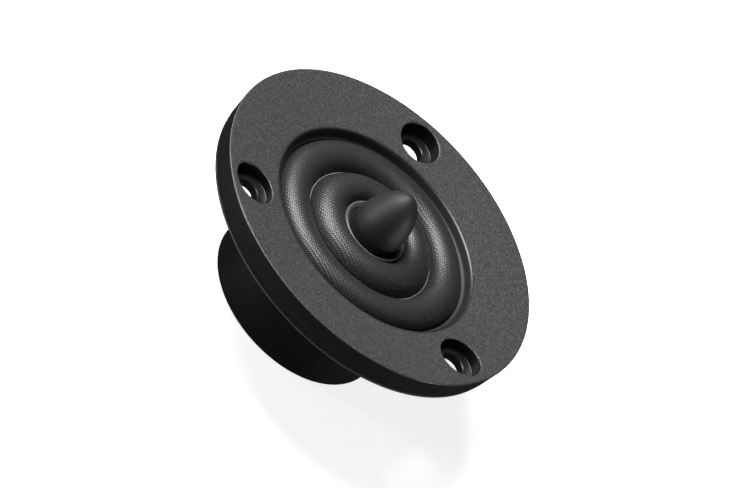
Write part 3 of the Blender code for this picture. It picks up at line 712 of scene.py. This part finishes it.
hole_tools = []
for hole_angle in HOLE_ANGLES:
    spot = Vector((math.cos(hole_angle), math.sin(hole_angle), 0)) * HOLE_CIRCLE
    drill = turned("drill", [
        (0, front_level + MM),
        (COUNTERBORE, front_level + MM),
        (COUNTERBORE, LEDGE_LEVEL, 0.12 * MM),
        (HOLE_RADIUS + LEDGE_CHAMFER, LEDGE_LEVEL),
        (HOLE_RADIUS, LEDGE_LEVEL - LEDGE_CHAMFER),
        (HOLE_RADIUS, rim_rear - MM),
        (0, rim_rear - MM),
    ], grained_face, HOLE_STEPS, closed=False)
    drill.location = spot
    softener = turned("softener", [
        (0, MM),
        (COUNTERBORE + RIM_ROUND, MM),
        *[
            (COUNTERBORE + RIM_ROUND * (1 - math.cos(a)), -RIM_ROUND * (1 - math.sin(a)))
            for a in np.linspace(math.pi / 2, 0, ARC_STEPS)
        ],
        (0, -RIM_ROUND),
    ], grained_face, HOLE_STEPS, closed=False)
    softener.location = (spot.x, spot.y, face_height(HOLE_CIRCLE))
    tilt = Quaternion((-math.sin(hole_angle), math.cos(hole_angle), 0), -math.atan(slope))
    softener.rotation_mode = "QUATERNION"
    softener.rotation_quaternion = tilt
    hole_tools += [drill, softener]
carve(plate, *hole_tools)
tell(plate)

# %% [markdown]
# A thick moulding sinks as it cools, so the back of the plate is cored out to an even wall. The core is a
# ring with the bosses round the holes and the ribs between them taken out of it, and the plate then loses
# that shape. Four pilot holes take the chassis screws.

# %% Core out the back
CORE_INNER = 25.35 * MM
CORE_OUTER = 30.60 * MM
CORE_FRONT = 21.95 * MM
BOSS_RADIUS = 5.2 * MM
RIB_HALF = 0.5 * MM
RIBS_PER_SECTOR = 3
SCREW_CIRCLE = 22.65 * MM
SCREW_START = math.radians(45)
SCREW_COUNT = 4
PILOT_RADIUS = 1.0 * MM
PILOT_DEPTH = 1.7 * MM

core = turned("core", [
    (CORE_OUTER, CORE_FRONT, 0.4 * MM),
    (CORE_OUTER + 0.1 * MM, rim_rear - MM),
    (CORE_INNER - 0.1 * MM, rim_rear - MM),
    (CORE_INNER, CORE_FRONT, 0.4 * MM),
], grained_face)
kept = []
for i, hole_angle in enumerate(HOLE_ANGLES):
    boss = turned("boss", [
        (0, front_level),
        (BOSS_RADIUS, front_level),
        (BOSS_RADIUS, rim_rear - 2 * MM),
        (0, rim_rear - 2 * MM),
    ], grained_face, HOLE_STEPS, closed=False)
    boss.location = (math.cos(hole_angle) * HOLE_CIRCLE, math.sin(hole_angle) * HOLE_CIRCLE, 0)
    kept.append(boss)
    for j in range(RIBS_PER_SECTOR):
        rib = slab("rib", [
            (CORE_INNER - MM, -RIB_HALF), (CORE_OUTER + MM, -RIB_HALF),
            (CORE_OUTER + MM, RIB_HALF), (CORE_INNER - MM, RIB_HALF),
        ], 2, rim_rear - 2 * MM, front_level, grained_face)
        rib.rotation_euler.z = hole_angle + math.tau / 3 * (j + 1) / (RIBS_PER_SECTOR + 1)
        kept.append(rib)
carve(core, *kept)
pilots = []
for i in range(SCREW_COUNT):
    pilot = turned("pilot", [
        (0, RECESS_LEVEL + PILOT_DEPTH),
        (PILOT_RADIUS, RECESS_LEVEL + PILOT_DEPTH),
        (PILOT_RADIUS, RECESS_LEVEL - MM),
        (0, RECESS_LEVEL - MM),
    ], grained_face, 48, closed=False)
    screw_angle = SCREW_START + math.tau * i / SCREW_COUNT
    pilot.location = (math.cos(screw_angle) * SCREW_CIRCLE, math.sin(screw_angle) * SCREW_CIRCLE, 0)
    pilots.append(pilot)
carve(plate, core, *pilots)
stand_for(plate, "chassis", "grained_plastic", "face_plate")

# %% [markdown]
# The diaphragm's section is two half rolls that share a valley, where the voice coil is glued on. When the
# coil moves, each roll's inner flank goes with it and its outer flank stays with the frame. So the skin is
# made in four rings that meet at the two crests and at the valley. The outer ones are tied to the chassis,
# and the inner ones are not tied to anything here. Points crowd towards the crests, so that
# two rings that meet there have almost the same slope and the light runs over the join.

# %% Shape the diaphragm
VALLEY_RADIUS = 13.175 * MM
VALLEY_FLAT = 0.5 * MM
ROLL_HEIGHT = 2.6 * MM
OUTER_FOOT = 19.8 * MM
INNER_FOOT = 6.6 * MM
LAND_INNER = 4.65 * MM
SKIN = 0.3 * MM
FORMER_GAP = 0.06 * MM        # glue between the former and the skin
INNER_RISE = 1.0 * MM
ROLL_POINTS = 26
SKIN_STEPS = 256

valley_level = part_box("coil_former")[1].z + FORMER_GAP + SKIN
inner_land = valley_level + INNER_RISE


def roll_point(inner, outer, inner_level, outer_level, share):
    """A point on a half roll: share 0 is its inner foot, one half its crest and 1 its outer foot."""
    around = math.pi * share
    across = (1 - math.cos(around)) / 2
    base = inner_level + (outer_level - inner_level) * across
    return inner + (outer - inner) * across, base + ROLL_HEIGHT * math.sin(around)


def half_roll(roll, start, end):
    """Points along part of a roll, crowded towards the crest at one half."""
    points = []
    for t in np.linspace(0, 1, ROLL_POINTS):
        eased = t ** 1.5 if start == 0.5 else 1 - (1 - t) ** 1.5
        points.append(roll_point(*roll, start + (end - start) * eased))
    return points


def skin_ring(name, top):
    """A closed ring of the skin: its top line outwards and its underside back."""
    under = [(r, z - SKIN) for r, z in reversed(top)]
    return turned(name, top + under, coated_weave, SKIN_STEPS)


inner_roll = (INNER_FOOT, VALLEY_RADIUS - VALLEY_FLAT / 2, inner_land, valley_level)
outer_roll = (VALLEY_RADIUS + VALLEY_FLAT / 2, OUTER_FOOT, valley_level, valley_level)
inner_crest = roll_point(*inner_roll, 0.5)
outer_crest = roll_point(*outer_roll, 0.5)
valley = (VALLEY_RADIUS, valley_level)

skin_inner_fixed = skin_ring("skin_inner_fixed", [(LAND_INNER, inner_land), *half_roll(inner_roll, 0, 0.5)])
skin_inner_moving = skin_ring("skin_inner_moving", [*half_roll(inner_roll, 0.5, 1), valley])
skin_outer_moving = skin_ring("skin_outer_moving", [valley, *half_roll(outer_roll, 0, 0.5)])
skin_outer_fixed = skin_ring("skin_outer_fixed", [
    *half_roll(outer_roll, 0.5, 1), (diaphragm_radius, valley_level),
])
for skin in (skin_inner_fixed, skin_inner_moving, skin_outer_moving, skin_outer_fixed):
    tell(skin)
print("crests at", [round(c[1] / MM, 2) for c in (inner_crest, outer_crest)])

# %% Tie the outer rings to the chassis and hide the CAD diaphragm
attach(skin_inner_fixed, "chassis")
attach(skin_outer_fixed, "chassis")
for skin, crest in ((skin_inner_moving, inner_crest), (skin_outer_moving, outer_crest)):
    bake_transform(skin)
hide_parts("diaphragm")

# %% [markdown]
# A thin bead of resin in the valley joins the skin to the coil former. It shows as a fine bright line, so it
# is a real small bead that moves with the coil, and it also covers the join of the two moving rings. Its pale
# grey is a painted highlight that makes that line bright.

# %% Lay the bead in the valley
BEAD_WIDTH = 0.28 * MM
BEAD_HEIGHT = 0.26 * MM

bead = turned("valley_bead", [
    (VALLEY_RADIUS - BEAD_WIDTH / 2, valley_level + BEAD_HEIGHT, 0.10 * MM),
    (VALLEY_RADIUS + BEAD_WIDTH / 2, valley_level + BEAD_HEIGHT, 0.10 * MM),
    (VALLEY_RADIUS + BEAD_WIDTH / 2, valley_level - SKIN / 2),
    (VALLEY_RADIUS - BEAD_WIDTH / 2, valley_level - SKIN / 2),
], seam_resin_painted_highlight)
tell(bead)
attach(bead, "voice_coil")

# %% [markdown]
# The phase plug is a bullet, turned from a formula: a power curve that is full at the foot, bends in slowly
# and closes in a small blunt tip. Its foot stands inside a bezel ring that slopes in towards it like a
# funnel, and the ring's narrow rounded rim is the bright line round the plug. The ring is coloured a much
# lighter grey than the black plug, a painted highlight that helps that line show.

# %% Turn the plug and its ring
PLUG_POINTS = 40
PLUG_SPIGOT = 4.4 * MM
PLUG_GAP = 0.2 * MM           # between the plug's foot and the diaphragm's inner land
PLUG_BORE = 1.75 * MM
BORE_DEPTH = 4.6 * MM
BORE_POINT = 6.3 * MM
RING_WIDTH = 0.9 * MM
RIM_WIDTH = 0.35 * MM
plug_low, plug_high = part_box("phase_plug")
ring_low, ring_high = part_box("plug_ring")
plug_radius = plug_high.x
plug_base = inner_land + PLUG_GAP

bullet = []
for t in np.linspace(0, 1, PLUG_POINTS):
    height = math.sin(math.pi / 2 * (1 - t))
    bullet.append((plug_radius * (1 - height ** 2.4) ** 0.6, plug_base + (plug_high.z - plug_base) * height))
plug = turned("phase_plug_fine", [
    *bullet,
    (PLUG_SPIGOT, plug_base),
    (PLUG_SPIGOT, plug_low.z),
    (PLUG_BORE, plug_low.z),
    (PLUG_BORE, plug_base + BORE_DEPTH),
    (0, plug_base + BORE_POINT),
], satin_plug, closed=False)
ring_inner = ring_high.x - RING_WIDTH
bezel = turned("plug_ring_fine", [
    (ring_high.x, ring_high.z, 0.22 * MM),
    (ring_high.x, ring_low.z),
    (ring_inner, ring_low.z),
    (ring_inner, ring_low.z + 0.15 * MM, 0.05 * MM),
    (ring_high.x - RIM_WIDTH, ring_high.z, 0.10 * MM),
], ring_painted_highlight)
stand_for(plug, "chassis", "satin_plastic", "phase_plug")
stand_for(bezel, "chassis", "ring_plastic", "plug_ring")

# %% [markdown]
# Behind the flange come the gasket, the chassis ring and the can. The first and
# the last are plain turnings with rounded edges, and the chassis ring has a cell of its own below.

# %% Turn the pieces behind the flange
GASKET_BORE = 30.85 * MM
CAN_BORE = 16.45 * MM
CAN_FLOOR = 1.4 * MM

gasket_low, gasket_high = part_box("flange_gasket")
gasket = turned("flange_gasket_fine", [
    (gasket_high.x, gasket_high.z, 0.15 * MM),
    (gasket_high.x, gasket_low.z, 0.15 * MM),
    (GASKET_BORE, gasket_low.z, 0.15 * MM),
    (GASKET_BORE, gasket_high.z, 0.15 * MM),
], cell_foam)
can = turned("rear_can_fine", [
    (0, CAN_FLOOR),
    (CAN_BORE, CAN_FLOOR),
    (CAN_BORE, can_front),
    (can_radius, can_front, 0.2 * MM),
    (can_radius, 0, 0.6 * MM),
    (0, 0),
], can_paint, closed=False)
stand_for(gasket, "chassis", "foam", "flange_gasket")
stand_for(can, "chassis", "can_paint", "rear_can")

# %% [markdown]
# The chassis ring is one moulding too: a flange up front that the screws pull against the face plate, and a
# collar that grips the motor. It is turned, then slotted for the leads and drilled for screws and rivets.

# %% Make the chassis ring
CHASSIS_RADIUS = 24.0 * MM
CHASSIS_FRONT = 20.71 * MM
CHASSIS_REAR = 18.61 * MM
COLLAR_RADIUS = 19.40 * MM
COLLAR_REAR = 11.96 * MM
LIP_REAR = 17.56 * MM
LIP_FRONT = 18.71 * MM
LIP_BORE = 14.90 * MM
RIVET_X = 4.4 * MM
RIVET_Y = 20.55 * MM
LEAD_X = 2.0 * MM
SEAT_FOOT = 18.48 * MM
SEAT_TOP = 19.15 * MM
RIVET_HOLE = 0.80 * MM
LEAD_HOLE = 0.45 * MM
THROUGH = 3 * MM

chassis_ring = turned("chassis_ring_fine", [
    (CHASSIS_RADIUS, CHASSIS_FRONT, 0.15 * MM),
    (CHASSIS_RADIUS, CHASSIS_REAR, 0.30 * MM),
    (COLLAR_RADIUS, CHASSIS_REAR, 0.35 * MM),
    (COLLAR_RADIUS, COLLAR_REAR, 0.45 * MM),
    (CAN_BORE, COLLAR_REAR, 0.15 * MM),
    (CAN_BORE, LIP_REAR),
    (LIP_BORE, LIP_REAR),
    (LIP_BORE, LIP_FRONT, 0.15 * MM),
    (SEAT_FOOT, LIP_FRONT, 0.20 * MM),
    (SEAT_TOP, CHASSIS_FRONT, 0.10 * MM),
], chassis_plastic)
cuts = []
for i in range(SCREW_COUNT):
    screw_angle = SCREW_START + math.tau * i / SCREW_COUNT
    x, y = math.cos(screw_angle) * SCREW_CIRCLE, math.sin(screw_angle) * SCREW_CIRCLE
    cuts.append((PILOT_RADIUS, x, y, THROUGH))
for side in (-1, 1):
    cuts.append((RIVET_HOLE, side * RIVET_X, RIVET_Y, THROUGH / 2))
    cuts.append((LEAD_HOLE, side * LEAD_X, RIVET_Y, THROUGH))
tools = []
for radius, x, y, depth in cuts:
    tool = turned("drill", [
        (0, CHASSIS_REAR + depth), (radius, CHASSIS_REAR + depth),
        (radius, CHASSIS_REAR - MM), (0, CHASSIS_REAR - MM),
    ], chassis_plastic, 40, closed=False)
    tool.location = (x, y, 0)
    tools.append(tool)
for side in (-1, 1):
    x = side * LEAD_X
    tools.append(slab("slot", [
        (x - LEAD_HOLE, LIP_BORE), (x + LEAD_HOLE, LIP_BORE),
        (x + LEAD_HOLE, RIVET_Y + LEAD_HOLE), (x - LEAD_HOLE, RIVET_Y + LEAD_HOLE),
    ], 2, LIP_FRONT + 0.2 * MM, CHASSIS_FRONT + MM, chassis_plastic))
carve(chassis_ring, *tools)
stand_for(chassis_ring, "chassis", "moulded_plastic", "chassis_ring")

# %% [markdown]
# The screw is a small pan head with a cross recess. It is drawn once at the axis, cut with two tapered
# blades, and copied four times round. The rivet has a low domed head and is copied as a pair.

# %% Make the screws and rivets
HEAD_FRONT = 18.41 * MM
SCREW_TIP = 22.41 * MM
SHANK = 0.80 * MM
HEAD_RADIUS = 1.35 * MM
BLADE_HALF = 0.16 * MM
RECESS_HALF = 0.75 * MM

screw = turned("screw", [
    (0, SCREW_TIP),
    (SHANK / 2, SCREW_TIP),
    (SHANK, SCREW_TIP - SHANK),
    (SHANK, HEAD_FRONT),
    (HEAD_RADIUS, HEAD_FRONT, 0.10 * MM),
    (HEAD_RADIUS, HEAD_FRONT - 0.50 * MM, 0.30 * MM),
    (0.72 * MM, HEAD_FRONT - MM, 0.20 * MM),
    (0, HEAD_FRONT - MM),
], black_oxide, 48, closed=False)
blades = []
for quarter in range(2):
    blade = slab("blade", [
        (-RECESS_HALF, HEAD_FRONT - 1.2 * MM), (RECESS_HALF, HEAD_FRONT - 1.2 * MM),
        (0.3 * RECESS_HALF, HEAD_FRONT - 0.35 * MM), (-0.3 * RECESS_HALF, HEAD_FRONT - 0.35 * MM),
    ], 1, -BLADE_HALF, BLADE_HALF, black_oxide)
    blade.rotation_euler.z = math.pi / 2 * quarter
    blades.append(blade)
carve(screw, *blades)
screws = run_tree("chassis_screws_fine", screw.data, ring_of_copies, Count=SCREW_COUNT, Radius=SCREW_CIRCLE,
                  First=SCREW_START, Finish=black_oxide)
bpy.data.objects.remove(screw)
stand_for(screws, "chassis", "black_screw", *[f"chassis_screw_{i}" for i in range(1, SCREW_COUNT + 1)])

RIVET_HEAD_FRONT = 16.01 * MM
RIVET_TIP = 19.91 * MM
RIVET_RADIUS = 0.60 * MM
rivet = turned("rivet", [
    (0, RIVET_TIP),
    (RIVET_RADIUS, RIVET_TIP),
    (RIVET_RADIUS, RIVET_HEAD_FRONT),
    (0.95 * MM, RIVET_HEAD_FRONT, 0.08 * MM),
    (0.90 * MM, RIVET_HEAD_FRONT - 0.25 * MM, 0.25 * MM),
    (0.45 * MM, RIVET_HEAD_FRONT - 0.60 * MM, 0.25 * MM),
    (0, RIVET_HEAD_FRONT - 0.60 * MM),
], tin_plate, 48, closed=False)
rivet.data.transform(Matrix.Translation((0, RIVET_Y, 0)))
rivets = run_tree("rivets_fine", rivet.data, ring_of_copies, Count=2, Radius=RIVET_X, First=0.0,
                  Finish=tin_plate)
bpy.data.objects.remove(rivet)
stand_for(rivets, "chassis", "tinned_brass", "rivet_positive", "rivet_negative")

# %% [markdown]
# The board is punched from brown laminate and the tabs from brass strip, both with broken edges. The blades
# have chamfered tips and the usual round hole that a push-on clip snaps into. One is wide and one narrow, so
# that the plug can't be put on the wrong way round.

# %% Punch the board and the tabs
board_low, board_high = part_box("terminal_board")
BOARD_CORNER = 0.8 * MM
board = slab("terminal_board_fine", [
    (board_low.x, board_low.y), (board_high.x, board_low.y),
    (board_high.x, board_high.y - BOARD_CORNER), (board_high.x - BOARD_CORNER, board_high.y),
    (board_low.x + BOARD_CORNER, board_high.y), (board_low.x, board_high.y - BOARD_CORNER),
], 2, board_low.z, board_high.z, paper_laminate, 0.10 * MM)
stand_for(board, "chassis", "laminate", "terminal_board")

FOOT_FRONT = 16.81 * MM
STRIP = 0.6 * MM
TIP_CHAMFER = 0.9 * MM
CLIP_HOLE = 0.65 * MM
CLIP_HEIGHT = 2.6 * MM        # of the clip's hole over the blade's tip
for name, side, width in (("positive", -1, 4.8 * MM), ("negative", 1, 2.8 * MM)):
    low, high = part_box(f"terminal_{name}")
    middle, half_width = side * RIVET_X, width / 2
    foot = slab(f"terminal_{name}_fine", [
        (low.x, low.y), (high.x, low.y), (high.x, high.y), (low.x, high.y),
    ], 2, FOOT_FRONT - STRIP, FOOT_FRONT, tin_plate, 0.08 * MM)
    blade = slab("blade", [
        (middle - half_width, FOOT_FRONT - STRIP / 2), (middle + half_width, FOOT_FRONT - STRIP / 2),
        (middle + half_width, low.z + TIP_CHAMFER), (middle + half_width - TIP_CHAMFER / 2, low.z),
        (middle - half_width + TIP_CHAMFER / 2, low.z), (middle - half_width, low.z + TIP_CHAMFER),
    ], 1, high.y - STRIP, high.y, tin_plate, 0.08 * MM)
    join(foot, blade)
    clip = turned("clip_hole", [
        (0, 2 * MM), (CLIP_HOLE, 2 * MM), (CLIP_HOLE, -2 * MM), (0, -2 * MM),
    ], tin_plate, 40, closed=False)
    clip.rotation_euler.x = math.pi / 2
    clip.location = (middle, high.y - STRIP / 2, low.z + CLIP_HEIGHT)
    carve(foot, clip)
    stand_for(foot, "chassis", "tinned_brass", f"terminal_{name}")

# %% [markdown]
# The winding is two layers of round wire. Its outer face is drawn as the row of half circles that the turns
# make, and its inner face lies flat on the glue.

# %% Wind the coil
WIRE = 0.20 * MM
POINTS_TO_A_TURN = 8
WINDING_STEPS = 160
wind_low, wind_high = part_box("coil_winding")
turns = round((wind_high.z - wind_low.z) / WIRE)
wave = []
for i in range(turns):
    for k in range(POINTS_TO_A_TURN):
        round_the_wire = math.pi * k / POINTS_TO_A_TURN
        level = wind_high.z - WIRE * (i + (1 - math.cos(round_the_wire)) / 2)
        wave.append((wind_high.x - WIRE / 2 + WIRE / 2 * math.sin(round_the_wire), level))
winding = turned("coil_winding_fine", [
    (wind_high.x - 2 * WIRE, wind_high.z), *wave, (wind_high.x - WIRE / 2, wind_low.z),
    (wind_high.x - 2 * WIRE, wind_low.z),
], copper_wire, WINDING_STEPS)
print("turns in a layer:", turns)
stand_for(winding, "voice_coil", "copper", "coil_winding")

# %% [markdown]
# ## The nodes that keep their CAD shape
#
# The inside of the motor is right as it is, so those nodes only get their finishes.

# %% Finish the inner nodes
NODE_FINISHES = {
    "inner_pedestal": chassis_plastic,
    "pole_felt": wool_felt,
    "surround_felt": wool_felt,
    "chamber_felt": wool_felt,
    "shorting_sleeve": copper_sleeve,
    "pole_washer": zinc_steel,
    "yoke_cup": zinc_steel,
    "centre_bolt": zinc_steel,
    "magnet": nickel_plate,
    "coil_former": rolled_foil,
    "lead_wire_positive": copper_wire,
    "lead_wire_negative": copper_wire,
}
for node, finish in NODE_FINISHES.items():
    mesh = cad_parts[node].data
    mesh.materials.clear()
    mesh.materials.append(finish)
print("finished nodes:", len(NODE_FINISHES))
